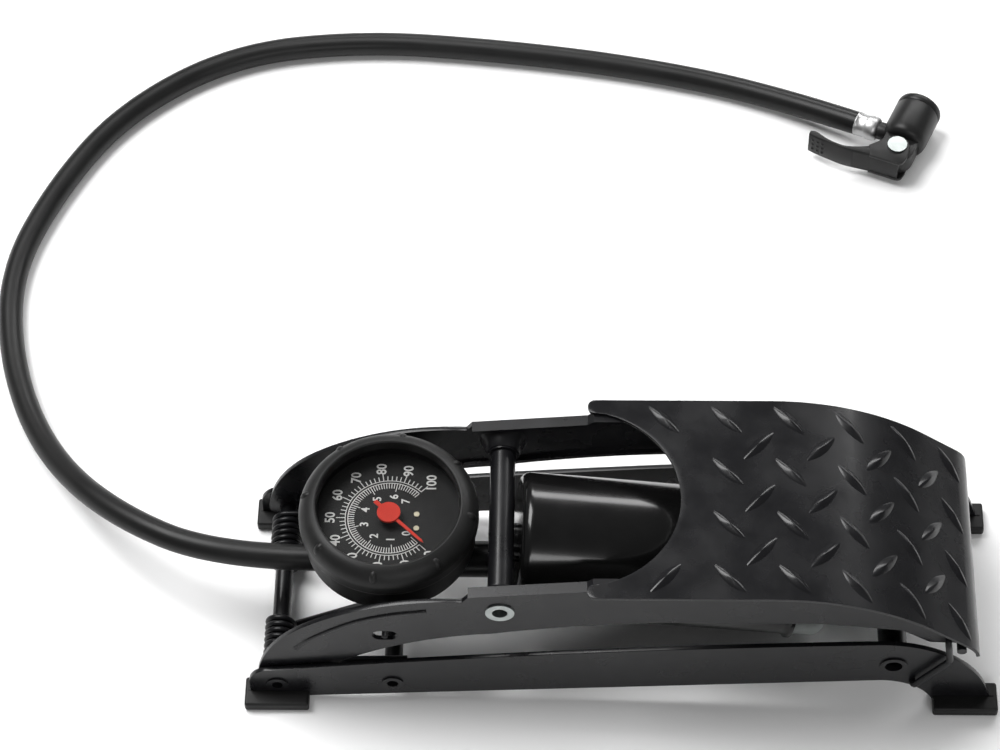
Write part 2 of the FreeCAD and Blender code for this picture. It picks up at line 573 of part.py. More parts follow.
pipe_left, pipe_right, seat_x = size("pipe_left"), size("pipe_right"), size("seat_x")
pipe_rad, seat_rad, chamber = size("pipe_rad"), size("seat_rad"), size("chamber_rad")
keep("outlet_pipe", turned("outlet_pipe", (pipe_left, chamber), [
    (pipe_left, pipe_rad), (pipe_right, pipe_rad), (pipe_right, seat_rad), (seat_x, seat_rad),
    (seat_x, chamber)], UPRIGHT, "0", "0", "sizes.pipe_z"))
ball_rad = size("ball_rad")
ball_x = seat_x - math.sqrt(ball_rad ** 2 - seat_rad ** 2) - size("run_gap")
ball = doc.addObject("Part::Sphere", "check_valve_ball")
ball.setExpression("Radius", "sizes.ball_rad")
keep("check_valve_ball", bind_place(ball, UPRIGHT, f"{ball_x}", "0", "sizes.pipe_z"))
wire, coil = size("valve_wire"), size("valve_coil")
spring_long = ball_x - ball_rad - pipe_left - 3 * wire
helix = Part.makeHelix(spring_long / 5, spring_long, coil)
valve_section = Part.Wire(Part.makeCircle(wire, Vector(coil, 0, 0), Vector(0, 1, 0)))
valve_spring = doc.addObject("Part::Feature", "valve_spring")
valve_spring.Shape = Part.Wire(helix.Edges).makePipeShell([valve_section], True, True)
keep("check_valve_spring", bind_place(valve_spring, ALONG_X, "sizes.pipe_left + 1.2 * "
                                      "sizes.valve_wire", "0", "sizes.pipe_z"))

tee_run = rod("tee_run", "sizes.tee_rad", "sizes.pipe_left - sizes.tee_left", ALONG_X,
              "sizes.tee_left", "0", "sizes.pipe_z")
tee_stem = doc.addObject("Part::Prism", "tee_stem")
tee_stem.Polygon = 6
tee_stem.setExpression("Circumradius", "sizes.stem_rad")
tee_stem.setExpression("Height", "sizes.gauge_low - sizes.pipe_z")
bind_place(tee_stem, UPRIGHT, "sizes.gauge_x", "0", "sizes.pipe_z")
tee_way = rod("tee_way", "sizes.tee_bore", "sizes.pipe_left - sizes.tee_left", ALONG_X,
              "sizes.tee_left", "0", "sizes.pipe_z")
tee_up = rod("tee_up", "sizes.tee_bore - 1", "sizes.gauge_low - sizes.pipe_z", UPRIGHT,
             "sizes.gauge_x", "0", "sizes.pipe_z")
keep("gauge_tee", cut("gauge_tee", join("gauge_tee", tee_run, tee_stem), tee_way, tee_up))

# ---------------------------------------------------------------- gauge

STANDING = Rotation(Vector(0, 1, 0), -90)
AT_GAUGE = ("sizes.gauge_x", "0", "0")
low, top, case, skin = size("gauge_low"), size("case_top"), size("case_rad"), size("case_wall")
soft = size("case_round")
soft_corner = soft * (1 - math.cos(math.pi / 4))
stem_bore = size("tee_bore") - 1
keep("gauge_case", turned("gauge_case", (low, stem_bore), [
    (low, case - soft), ((low + soft_corner, case - soft_corner), (low + soft, case)),
    (top, case), (top, case - skin), (low + soft, case - skin),
    ((low + soft_corner + 1.06, case - soft_corner - 1.06), (low + skin, case - soft)),
    (low + skin, stem_bore)], STANDING, *AT_GAUGE))
boot, boot_low, boot_top, eye = (size(name) for name in ("boot_rad", "boot_low", "boot_top",
                                                        "boot_eye"))
sleeve, boot_ring = size("boot_sleeve"), size("boot_ring")
lens_top = top + size("lens_thick")
keep("gauge_boot", turned("gauge_boot", (boot_low + 2.0, case), [
    (boot_low, case + 0.6), (boot_low + 0.6, sleeve), (boot_ring, sleeve),
    ((boot_ring + 0.6, boot - 0.6), (boot_ring + 2.0, boot)), (boot_top - 7.3, boot),
    ((boot_top - 2.4, boot - 2.2), (boot_top, eye + 1.4)),
    ((boot_top - 0.25, eye + 0.3), (boot_top - 1.0, eye)), (lens_top, eye), (lens_top, case),
    (boot_low + 2.0, case)],
    STANDING, *AT_GAUGE))
keep("gauge_lens", rod("gauge_lens", "sizes.lens_rad", "sizes.lens_thick", UPRIGHT,
                       "sizes.gauge_x", "0", "sizes.case_top"))
SCREWS = (("a", 11.3, 1.7), ("b", 11.3, -5.1))
screw_holes, screw_heads = [], []
for name, dx, dy in SCREWS:
    spot = (f"sizes.gauge_x + {dx}", f"{dy}")
    screw_holes.append(rod(f"screw_hole_{name}", "sizes.screw_hole", "sizes.dial_thick", UPRIGHT, *spot,
                           "sizes.dial_z"))
    head = rod(f"screw_head_{name}", "sizes.screw_rad", "0.5", UPRIGHT, *spot,
               "sizes.dial_z + sizes.dial_thick")
    shank = rod(f"screw_shank_{name}", "sizes.screw_hole", "4", UPRIGHT, *spot,
                "sizes.dial_z + sizes.dial_thick - 4")
    screw_heads.append(join(f"screw_{name}", head, shank))
dial = rod("dial_disc", "sizes.dial_rad", "sizes.dial_thick", UPRIGHT, "sizes.gauge_x", "0",
           "sizes.dial_z")
dial_eye = rod("dial_eye", "1.6", "sizes.dial_thick", UPRIGHT, "sizes.gauge_x", "0",
               "sizes.dial_z")
keep("gauge_dial", cut("gauge_dial", dial, dial_eye, *screw_holes))
keep("dial_screws", join("dial_screws", *screw_heads))
keep("gauge_socket", ring("gauge_socket", "sizes.socket_rad", "sizes.tee_bore - 1",
                          "sizes.socket_top - sizes.gauge_low - sizes.case_wall", UPRIGHT,
                          "sizes.gauge_x", "0", "sizes.gauge_low + sizes.case_wall"))
movement = doc.addObject("Part::Box", "movement_block")
for side, text in (("Length", "sizes.works_long"), ("Width", "sizes.works_wide"),
                   ("Height", "sizes.dial_z - sizes.socket_top")):
    movement.setExpression(side, text)
bind_place(movement, UPRIGHT, "sizes.gauge_x - 9", "-10", "sizes.socket_top")
movement_hole = rod("movement_hole", "sizes.arbor_rad + sizes.run_gap", "8", UPRIGHT,
                    "sizes.gauge_x", "0", "sizes.dial_z - 7")
keep("gauge_movement", cut("gauge_movement", movement, movement_hole,
                           *[rod(f"tapped_{name}", "sizes.screw_hole", "3.2", UPRIGHT,
                                 f"sizes.gauge_x + {dx}", f"{dy}", "sizes.dial_z - 3.2")
                             for name, dx, dy in SCREWS]))
bourdon = doc.addObject("Part::Torus", "bourdon_tube")
bourdon.setExpression("Radius1", "sizes.bourdon_rad")
bourdon.setExpression("Radius2", "sizes.bourdon_tube")
bourdon.Angle3 = 250
keep("bourdon_tube", bind_place(bourdon, Rotation(Vector(0, 0, 1), 60), "sizes.gauge_x", "0",
                                "sizes.bourdon_z"))

needle = doc.addObject("PartDesign::Body", "needle_blade")
long, tail = size("needle_long"), size("needle_tail")
blade = draw(needle, "XY_Plane", (-tail, -0.9), [(long - 1.5, -0.55), (long, 0.0),
                                                (long - 1.5, 0.55), (-tail, 0.9)])
pad(needle, blade, "sizes.needle_thick")
bind_place(needle, Rotation(Vector(0, 0, 1), size("needle_angle")), "sizes.gauge_x", "0",
           "sizes.needle_z")
needle_hub = rod("needle_hub", "sizes.hub_rad", "1.1", UPRIGHT, "sizes.gauge_x", "0",
                 "sizes.needle_z")
arbor = rod("needle_arbor", "sizes.arbor_rad", "sizes.arbor_long", UPRIGHT, "sizes.gauge_x",
            "0", "sizes.needle_z + 0.1 - sizes.arbor_long")
keep("gauge_pointer", join("gauge_pointer", needle, needle_hub, arbor))

# ---------------------------------------------------------------- hose

tee_end = Vector(size("tee_left"), 0, size("pipe_z"))
HOSE_ROUTE = [tee_end, Vector(-26, 0, 37.1), Vector(-74, 26, 31), Vector(-108, 68, 13),
              Vector(-129, 118, 5.5), Vector(-135.5, 170, 5.5), Vector(-120, 218, 5.5),
              Vector(-92, 266, 5.5), Vector(-42, 302.5, 5.5), Vector(20, 311.5, 5.5),
              Vector(85, 306, 5.5), Vector(150, 296, 5.5), Vector(212, 280, 5.5),
              Vector(255, 258.5, 9.5)]


def corner_radii(points):
    """Each arc as large as its two runs allow: 0.45 of the shorter one."""
    radii = []
    for before, here, after in zip(points, points[1:], points[2:]):
        shorter = min((here - before).Length, (after - here).Length)
        turn = (here - before).getAngle(after - here)
        radii.append(0.45 * shorter / math.tan(turn / 2))
    return radii


hose_radii = corner_radii(HOSE_ROUTE)
hose_path = bent_path(HOSE_ROUTE, hose_radii)
hose = swept(hose_path, size("hose_rad"))
hose_section = math.pi * size("hose_rad") ** 2
print("hose length", round(hose_path.Length, 1), "radii", [round(radius) for radius in hose_radii])
print("hose volume against section times length",
      round(hose.Volume / hose_section / hose_path.Length, 4))
keep("air_hose", placed_feature("air_hose", hose))

# ---------------------------------------------------------------- chuck

hose_end = HOSE_ROUTE[-1]
heading = (hose_end - HOSE_ROUTE[-2]).normalize()
ferrule_end = hose_end + heading * size("ferrule_long")
keep("chuck_ferrule", placed_feature("chuck_ferrule", Part.makeCylinder(
    size("ferrule_rad"), size("ferrule_long"), hose_end, heading)))

rivet_at = Vector(size("chuck_x"), size("chuck_y"), size("chuck_z"))
angle = math.radians(size("chuck_angle"))
up_axis = Vector(math.cos(angle), math.sin(angle), 0)
right_axis = Vector(math.sin(angle), -math.cos(angle), 0)


def on_axis(radius, start, end):
    return Part.makeCylinder(radius, end - start, rivet_at + up_axis * start, up_axis)


half_gap, ear = size("ear_gap") / 2, size("ear_thick")
block_long, block_half = size("block_long"), size("block_half")
block_low = size("barrel_low") + 0.5 - block_long
flat = Part.makeBox(block_long, 2 * block_half, 2 * half_gap - 0.3)
flat = flat.makeFillet(size("block_round"), [edge for edge in flat.Edges
                                             if abs(edge.tangentAt(0).z) > 0.9
                                             and edge.CenterOfMass.x < 1])
flat.Placement = Placement(rivet_at + up_axis * block_low + right_axis * block_half
                           + Vector(0, 0, -half_gap + 0.15),
                           Rotation(up_axis, right_axis * -1, Vector(0, 0, 1), "ZXY"))
neck = Part.makeCylinder(size("neck_rad"), size("neck_long"), ferrule_end, heading)
clinch_hole = Part.makeCylinder(size("clinch_rad"), 30, rivet_at + Vector(0, 0, -15))
low_end, high_end = size("barrel_low"), size("barrel_high")
chuck_solid = on_axis(size("chuck_rad"), low_end, high_end).multiFuse([flat, neck])
chuck_solid = chuck_solid.cut(on_axis(size("seal_rad"), low_end + 4, high_end)).cut(clinch_hole)
keep("chuck_body", placed_feature("chuck_body", chuck_solid))
seal = on_axis(size("seal_rad"), low_end + 4, high_end).cut(
    on_axis(size("valve_rad"), low_end + 5, high_end))
keep("chuck_seal", placed_feature("chuck_seal", seal))
chuck_cap = on_axis(size("chuck_rad"), high_end, size("chuck_end")).cut(
    on_axis(size("valve_rad"), high_end, size("chuck_end")))
keep("chuck_cap", placed_feature("chuck_cap", chuck_cap))

head_rad, head_thick = size("clinch_head"), 0.9
ear_top = size("chuck_z") + half_gap + ear
ear_bottom = size("chuck_z") - half_gap - ear


def at_rivet(z):
    return Vector(rivet_at.x, rivet_at.y, z)


clinch = Part.makeCylinder(size("clinch_rad"), ear_top - ear_bottom + 0.4,
                           at_rivet(ear_bottom - 0.2))
clinch = clinch.multiFuse([Part.makeCylinder(head_rad, head_thick, at_rivet(ear_top + 0.1)),
                           Part.makeCylinder(head_rad, head_thick,
                                             at_rivet(ear_bottom - 0.1 - head_thick))])
keep("chuck_rivet", placed_feature("chuck_rivet", clinch))

# Lever seen from above, from the rivet: a thin curved arm, and two ears round the rivet.
ARM_FAR = [(-12.0, 0.5), (-18.6, -0.1), (-25.2, 0.5), (-31.6, 3.9), (-36.8, 8.5), (-39.0, 9.0)]
ARM_NEAR = [(-40.8, 6.7), (-31.7, 1.7), (-25.2, -1.6), (-19.4, -3.7), (-12.2, -5.8)]
EAR = [(0.0, -10.6), (3.5, -8.5), (5.2, -3.6), (5.8, 0.0), (4.1, 4.1), (0.0, 5.8), (-5.5, 4.5),
       (-8.9, 2.3)]
CHANNEL = [(-10.9, 20.0), (-10.9, -4.6), (0.6, -9.1), (0.6, -20.0), (20.0, -20.0), (20.0, 20.0)]


def lever_plate(points, z, thick):
    corners = [rivet_at + Vector(x, y, z - rivet_at.z) for x, y in points]
    face = Part.Face(Part.makePolygon(corners + corners[:1]))
    return face.extrude(Vector(0, 0, thick))


lever = lever_plate(ARM_FAR + ARM_NEAR + EAR, ear_bottom, ear_top - ear_bottom)
lever = lever.cut(lever_plate(CHANNEL, ear_bottom + ear, 2 * half_gap))
lever = lever.cut(Part.makeCylinder(size("clinch_rad") + size("run_gap"), 30,
                                    rivet_at + Vector(0, 0, -15)))
keep("chuck_lever", placed_feature("chuck_lever", lever))

# ---------------------------------------------------------------- checks and export

doc.recompute()
faults = [obj.Name for obj in doc.Objects if {"Invalid", "Error"} & set(obj.State)]
if faults:
    raise RuntimeError(f"objects failed to recompute: {faults}")
os.makedirs("parts", exist_ok=True)
for label, obj in nodes.items():
    shape = obj.Shape
    if shape.isNull() or not shape.isValid() or not shape.Solids:
        raise RuntimeError(f"{label} has no valid solid")
    print(f"{label:24s} solids {len(shape.Solids)} volume {shape.Volume:10.1f}")
    shape.exportStep(f"parts/{label}.step")
print(len(nodes), "nodes")
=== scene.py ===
"""Foot pump with a gauge, a hose and a tyre chuck: looks, floor, light and camera."""

import json
import math

import bmesh
import bpy
from mathutils import Matrix, Vector


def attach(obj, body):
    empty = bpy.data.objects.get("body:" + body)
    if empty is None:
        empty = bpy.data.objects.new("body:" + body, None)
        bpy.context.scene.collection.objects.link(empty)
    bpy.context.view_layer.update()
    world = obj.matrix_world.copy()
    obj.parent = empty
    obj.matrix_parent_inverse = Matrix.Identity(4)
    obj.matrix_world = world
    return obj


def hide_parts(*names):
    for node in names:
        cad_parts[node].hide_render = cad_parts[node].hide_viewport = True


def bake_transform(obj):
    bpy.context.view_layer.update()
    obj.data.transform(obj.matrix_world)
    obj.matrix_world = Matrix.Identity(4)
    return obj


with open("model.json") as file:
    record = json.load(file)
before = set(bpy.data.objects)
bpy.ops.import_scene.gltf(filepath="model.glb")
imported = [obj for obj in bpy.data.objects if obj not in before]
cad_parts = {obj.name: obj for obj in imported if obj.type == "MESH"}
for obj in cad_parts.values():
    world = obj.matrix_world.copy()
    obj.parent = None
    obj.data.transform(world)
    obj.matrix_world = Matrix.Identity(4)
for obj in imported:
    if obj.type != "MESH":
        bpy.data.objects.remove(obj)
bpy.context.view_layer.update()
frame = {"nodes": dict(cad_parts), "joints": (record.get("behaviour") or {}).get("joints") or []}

MM = 0.001
JOINTS = {joint["name"]: joint for joint in frame["joints"]}
HINGE = Vector(JOINTS["treadle_hinge"]["pos_m"])
ORIGIN = Vector((HINGE.x, HINGE.y, 0.0))


def at(x, y, z):
    """A point of the pump frame, in millimetres from the floor under the treadle's hinge."""
    return ORIGIN + Vector((x, y, z)) * MM


# ---------------------------------------------------------------- camera, floor and light

CAMERA_ELEVATION = math.radians(55.04)
CAMERA_AZIMUTH = math.radians(2.45)
CAMERA_ROLL = math.radians(-1.71)
CAMERA_DISTANCE = 1471.2 * MM
CAMERA_TARGET = at(89.96, 116.39, 5.15)
CAMERA_LENS, CAMERA_SENSOR = 118.57, 36.0


def make_camera():
    data = bpy.data.cameras.new("camera")
    data.lens = CAMERA_LENS
    data.sensor_width = CAMERA_SENSOR
    camera = bpy.data.objects.new("camera", data)
    bpy.context.scene.collection.objects.link(camera)
    level = math.cos(CAMERA_ELEVATION)
    back = Vector((math.sin(CAMERA_AZIMUTH) * level, -math.cos(CAMERA_AZIMUTH) * level,
                   math.sin(CAMERA_ELEVATION)))
    right = Vector((math.cos(CAMERA_AZIMUTH), math.sin(CAMERA_AZIMUTH), 0.0))
    turn = Matrix.Rotation(CAMERA_ROLL, 3, back)
    across, up = turn @ right, turn @ back.cross(right)
    pose = Matrix((across, up, back)).transposed().to_4x4()
    pose.translation = CAMERA_TARGET + back * CAMERA_DISTANCE
    camera.matrix_world = pose
    bpy.context.scene.camera = camera


def area_light(name, place, aim, size, power):
    data = bpy.data.lights.new(name, "AREA")
    data.shape = "RECTANGLE"
    data.size, data.size_y = size
    data.energy = power
    lamp = bpy.data.objects.new(name, data)
    lamp.location = place
    lamp.rotation_euler = (Vector(aim) - Vector(place)).to_track_quat("-Z", "Y").to_euler()
    bpy.context.scene.collection.objects.link(lamp)


FLOOR_REACH, FLOOR_DROP = 6.0, 0.2 * MM
FLOOR_WHITE, WORLD_STRENGTH = 0.95, 0.16


def make_floor():
    mesh = bpy.data.meshes.new("floor")
    corners = [(-1, -1), (1, -1), (1, 1), (-1, 1)]
    mesh.from_pydata([(x * FLOOR_REACH, y * FLOOR_REACH, 0) for x, y in corners], [],
                     [(0, 1, 2, 3)])
    floor = bpy.data.objects.new("floor", mesh)
    floor.location.z = -FLOOR_DROP
    bpy.context.scene.collection.objects.link(floor)
    paper = bpy.data.materials.new("floor_paper")
    paper.use_nodes = True
    shader = paper.node_tree.nodes["Principled BSDF"]
    shader.inputs["Base Color"].default_value = (FLOOR_WHITE, FLOOR_WHITE, FLOOR_WHITE, 1)
    shader.inputs["Specular IOR Level"].default_value = 0.1
    shader.inputs["Roughness"].default_value = 0.9
    mesh.materials.append(paper)


def make_studio():
    """A dim white world and three soft lamps."""
    world = bpy.data.worlds.new("studio")
    world.use_nodes = True
    background = world.node_tree.nodes["Background"]
    background.inputs["Color"].default_value = (1, 1, 1, 1)
    background.inputs["Strength"].default_value = WORLD_STRENGTH
    bpy.context.scene.world = world
    bpy.context.scene.view_settings.view_transform = "Standard"
    area_light("key", (-0.9, 0.6, 1.9), (0, 0.1, 0), (1.2, 1.2), 52)
    area_light("back", (0.5, 1.6, 1.2), (0, 0.1, 0), (1.8, 0.4), 22)
    area_light("front", (0.5, -1.7, 1.3), (0, 0, 0), (1.5, 0.35), 12)


# ---------------------------------------------------------------- materials

NOISE_DETAIL, NOISE_LOW, NOISE_HIGH = 3.0, 0.3, 0.7
TINT_BLOTCH = 0.37
SPECULAR, COAT_ROUGH = 0.24, 0.12
GLASS_COLOUR, GLASS_ALPHA, GLASS_IOR, GLASS_BLOTCH = (0.01, 0.01, 0.01, 1), 0.12, 1.45, 9.0


def add_node(tree, kind, **inputs):
    node = tree.nodes.new(kind)
    for name, value in inputs.items():
        node.inputs[name.replace("_", " ")].default_value = value
    return node


def noise(tree, grain_mm):
    """Noise whose features are about grain_mm across."""
    place = tree.nodes.new("ShaderNodeTexCoord")
    pattern = add_node(tree, "ShaderNodeTexNoise", Scale=1.0 / (grain_mm * MM),
                       Detail=NOISE_DETAIL)
    tree.links.new(place.outputs["Object"], pattern.inputs["Vector"])
    return pattern.outputs["Fac"]


def span(tree, value, low, high):
    """A noise value's middle, spread from low to high."""
    node = add_node(tree, "ShaderNodeMapRange", From_Min=NOISE_LOW, From_Max=NOISE_HIGH,
                    To_Min=low, To_Max=high)
    tree.links.new(value, node.inputs["Value"])
    return node.outputs["Result"]


def surface(name, colour, rough, metal=0.0, grain=0.6, relief=0.02, blotch=18.0, spread=0.06,
            shade=0.15, coat=0.0):
    """A finish with fine relief, and gloss and colour that drift over the surface.

    grain and blotch are sizes in millimetres, and so is the depth of the relief.
    """
    material = bpy.data.materials.new(name)
    material.use_nodes = True
    tree = material.node_tree
    shader = tree.nodes["Principled BSDF"]
    shader.inputs["Metallic"].default_value = metal
    shader.inputs["Specular IOR Level"].default_value = SPECULAR
    shader.inputs["Coat Weight"].default_value = coat
    shader.inputs["Coat Roughness"].default_value = COAT_ROUGH
    drift = noise(tree, blotch)
    tree.links.new(span(tree, drift, rough - spread, rough + spread), shader.inputs["Roughness"])
    tint = tree.nodes.new("ShaderNodeMix")
    tint.data_type = "RGBA"
    dark = [channel * (1 - shade) for channel in colour]
    light = [min(1.0, channel * (1 + shade)) for channel in colour]
    tint.inputs["A"].default_value = (*dark, 1)
    tint.inputs["B"].default_value = (*light, 1)
    tint_drift = noise(tree, blotch * TINT_BLOTCH)
    tree.links.new(span(tree, tint_drift, 0.0, 1.0), tint.inputs["Factor"])
    tree.links.new(tint.outputs["Result"], shader.inputs["Base Color"])
    bump = add_node(tree, "ShaderNodeBump", Strength=1.0, Distance=relief * MM)
    tree.links.new(noise(tree, grain), bump.inputs["Height"])
    tree.links.new(bump.outputs["Normal"], shader.inputs["Normal"])
    return material


def clear_glass():
    material = bpy.data.materials.new("gauge_glass")
    material.use_nodes = True
    tree = material.node_tree
    shader = tree.nodes["Principled BSDF"]
    shader.inputs["Base Color"].default_value = GLASS_COLOUR
    shader.inputs["Alpha"].default_value = GLASS_ALPHA
    shader.inputs["IOR"].default_value = GLASS_IOR
    smears = span(tree, noise(tree, GLASS_BLOTCH), 0.02, 0.06)
    tree.links.new(smears, shader.inputs["Roughness"])
    return material


BLACK_PAINT = surface("satin_black_paint", (0.007, 0.007, 0.008), 0.30, grain=0.7, relief=0.012,
                      coat=0.1)
PLATE_PAINT = surface("tread_black_paint", (0.008, 0.008, 0.009), 0.27, grain=0.9, relief=0.015,
                      coat=0.15, spread=0.08)
BARREL_PAINT = surface("gloss_black_paint", (0.004, 0.004, 0.004), 0.23, grain=1.4, relief=0.006,
                       coat=0.35, spread=0.03)
BLACK_WIRE = surface("black_wire", (0.007, 0.007, 0.008), 0.33, grain=0.5, relief=0.01)
HOSE_RUBBER = surface("hose_rubber", (0.008, 0.008, 0.008), 0.40, grain=0.35, relief=0.02,
                      blotch=30)
BOOT_RUBBER = surface("boot_rubber", (0.009, 0.009, 0.009), 0.45, grain=0.3, relief=0.03)
FOOT_RUBBER = surface("foot_rubber", (0.009, 0.009, 0.009), 0.48, grain=0.3, relief=0.03)
PLASTIC = surface("black_plastic", (0.012, 0.012, 0.012), 0.40, grain=0.25, relief=0.012)
ZINC = surface("zinc_plate", (0.40, 0.43, 0.42), 0.38, metal=1.0, grain=0.8, relief=0.01)
ALUMINIUM = surface("aluminium", (0.50, 0.50, 0.50), 0.42, metal=1.0, grain=0.5, relief=0.015)
BRASS = surface("brass", (0.72, 0.58, 0.34), 0.30, metal=1.0, grain=0.6, relief=0.01)
SCREW = surface("screw_cream", (0.50, 0.46, 0.34), 0.38, metal=0.4, grain=0.5, relief=0.01)
DIAL = surface("dial_black", (0.006, 0.006, 0.006), 0.45, grain=0.4, relief=0.004)
PRINT = surface("dial_print", (0.72, 0.72, 0.70), 0.55, grain=0.4, relief=0.002, shade=0.05)
NEEDLE = surface("needle_orange", (0.62, 0.035, 0.018), 0.38, grain=0.4, relief=0.004, shade=0.06)
GLASS = clear_glass()

FINISHES = [
    (BLACK_PAINT, [
        "base_rail_near", "base_rail_far", "treadle_arm_near", "treadle_arm_far", "latch_peg",
        "hinge_axle_tube", "front_spacer_tube", "rear_rivet_near", "rear_rivet_far",
        "hinge_washer_near", "hinge_washer_far", "pivot_washer_near", "pivot_washer_far",
        "pivot_sleeve", "rod_cross_sleeve", "cylinder_head", "outlet_pipe", "gauge_tee",
        "gauge_case"]),
    (PLATE_PAINT, ["tread_plate"]),
    (BARREL_PAINT, ["cylinder_barrel"]),
    (BLACK_WIRE, ["storage_latch_wire", "torsion_spring_near", "torsion_spring_far"]),
    (HOSE_RUBBER, ["air_hose", "piston_cup_seal", "chuck_seal"]),
    (BOOT_RUBBER, ["gauge_boot"]),
    (FOOT_RUBBER, ["foot_cap_near_left", "foot_cap_far_left", "foot_cap_near_right",
                   "foot_cap_far_right"]),
    (PLASTIC, ["chuck_body", "chuck_cap", "chuck_lever", "rod_bushing"]),
    (ZINC, ["pivot_axle", "cylinder_end_cap", "piston_nut", "piston_rod", "chuck_rivet",
            "check_valve_ball", "check_valve_spring"]),
    (ALUMINIUM, ["piston", "chuck_ferrule"]),
    (BRASS, ["gauge_socket", "gauge_movement", "bourdon_tube"]),
    (SCREW, ["dial_screws"]),
    (DIAL, ["gauge_dial"]),
    (NEEDLE, ["gauge_pointer"]),
    (GLASS, ["gauge_lens"]),
]


def finish_cad_nodes():
    for material, names in FINISHES:
        for name in names:
            node = frame["nodes"][name]
            if not node.material_slots:
                node.data.materials.append(material)
            for slot in node.material_slots:
                slot.material = material


WELD_REACH = 0.01 * MM
SHEET_BEVEL, SHEET_ANGLE = 0.45, 35


def bevelled(piece, width, angle, segments=2):
    """Round a piece's edges that are sharper than the angle, so that they catch the light."""
    edges = piece.modifiers.new("edges", "BEVEL")
    edges.width, edges.segments = width * MM, segments
    edges.limit_method, edges.angle_limit = "ANGLE", math.radians(angle)


def soften_sheet(name):
    """Round the edges of a sheet-metal piece of the CAD, once its faces share their corners."""
    node = frame["nodes"][name]
    weld = node.modifiers.new("weld", "WELD")
    weld.merge_threshold = WELD_REACH
    bevelled(node, SHEET_BEVEL, SHEET_ANGLE)


# ---------------------------------------------------------------- mesh helpers

SAME_PLACE = 0.002 * MM


def new_piece(name, verts, faces, material, body, smooth=True):
    mesh = bpy.data.meshes.new(name)
    mesh.from_pydata([tuple(vert) for vert in verts], [], faces)
    mesh.validate()
    shell = bmesh.new()
    shell.from_mesh(mesh)
    bmesh.ops.remove_doubles(shell, verts=shell.verts, dist=SAME_PLACE)
    bmesh.ops.recalc_face_normals(shell, faces=shell.faces)
    shell.to_mesh(mesh)
    shell.free()
    mesh.materials.append(material)
    for face in mesh.polygons:
        face.use_smooth = smooth
    piece = bpy.data.objects.new(name, mesh)
    bpy.context.scene.collection.objects.link(piece)
    if body:
        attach(piece, body)
    return piece


def ring_faces(ring, sides):
    """The quads between a ring of vertices and the ring before it."""
    row = (ring - 1) * sides
    return [(row + step, row + (step + 1) % sides, row + sides + (step + 1) % sides,
             row + sides + step) for step in range(sides)]


def end_faces(count, sides):
    """The two faces that close a row of rings."""
    return [tuple(range(sides)), tuple(range(count - sides, count))]


def tube(points, radius, sides=16):
    """Vertices and faces of a closed tube along the points."""
    points = [Vector(point) for point in points]
    tangents = []
    for index in range(len(points)):
        before, after = points[max(index - 1, 0)], points[min(index + 1, len(points) - 1)]
        tangents.append((after - before).normalized())
    normal = tangents[0].orthogonal().normalized()
    verts, faces = [], []
    for index, (point, tangent) in enumerate(zip(points, tangents)):
        normal = (normal - tangent * normal.dot(tangent)).normalized()
        side = tangent.cross(normal)
        for step in range(sides):
            angle = 2 * math.pi * step / sides
            verts.append(point + radius * (math.cos(angle) * normal + math.sin(angle) * side))
        if index:
            faces += ring_faces(index, sides)
    return verts, faces + end_faces(len(verts), sides)


def turned(profile, foot, axis, segments=64, wave=None):
    """Vertices and faces of (along, radius) millimetres turned about an axis through foot."""
    pose = Matrix.Translation(foot) @ axis.to_track_quat("Z", "Y").to_matrix().to_4x4()
    verts, faces = [], []
    rings = len(profile)
    for step in range(segments):
        angle = 2 * math.pi * step / segments
        for along, radius in profile:
            grown = (radius + (wave(angle, along) if wave else 0.0)) * MM
            verts.append(pose @ Vector((grown * math.cos(angle), grown * math.sin(angle),
                                        along * MM)))
        nxt = (step + 1) % segments
        for ring in range(rings - 1):
            faces.append((step * rings + ring, nxt * rings + ring, nxt * rings + ring + 1,
                          step * rings + ring + 1))
    return verts, faces


def dome(centre, long_axis, wide_axis, up_axis, sizes, rings=5, sides=20):
    """A raised bump: half its length, half its width and its height in the middle."""
    verts, faces = [], []
    long_half, wide_half, crown = sizes
    for ring in range(rings + 1):
        share = ring / rings
        height = crown * (1 - share * share) ** 0.8
        for step in range(sides):
            angle = 2 * math.pi * step / sides
            along, across = math.cos(angle) * share, math.sin(angle) * share
            verts.append(centre + long_axis * (along * long_half)
                         + wide_axis * (across * wide_half) + up_axis * height)
        if ring:
            faces += ring_faces(ring, sides)
    return verts, faces


def merged(parts):
    """Several (vertices, faces) pairs as one."""
    verts, faces = [], []
    for part_verts, part_faces in parts:
        shift = len(verts)
        verts += part_verts
        faces += [tuple(index + shift for index in face) for face in part_faces]
    return verts, faces


def smooth_line(points, steps=6):
    """Points on a smooth curve through the given ones."""
    points = [Vector(point) for point in points]
    line = []
    for index in range(len(points) - 1):
        before = points[max(index - 1, 0)]
        here, there = points[index], points[index + 1]
        after = points[min(index + 2, len(points) - 1)]
        for step in range(steps):
            t = step / steps
            line.append(0.5 * (2 * here + (there - before) * t
                               + (2 * before - 5 * here + 4 * there - after) * t * t
                               + (3 * here - before - 3 * there + after) * t ** 3))
    line.append(points[-1])
    return line


# ---------------------------------------------------------------- hose

HOSE_ROUTE = [(22, 0, 37.1), (-26, 0, 37.1), (-74, 26, 31), (-108, 68, 13), (-129, 118, 5.5),
              (-135.5, 170, 5.5), (-120, 218, 5.5), (-92, 266, 5.5), (-42, 302.5, 5.5),
              (20, 311.5, 5.5), (85, 306, 5.5), (150, 296, 5.5), (212, 280, 5.5),
              (255, 258.5, 9.5)]
HOSE_RADIUS = 5.5 * MM
HOSE_END = at(*HOSE_ROUTE[-1])
HOSE_HEADING = (HOSE_END - at(*HOSE_ROUTE[-2])).normalized()


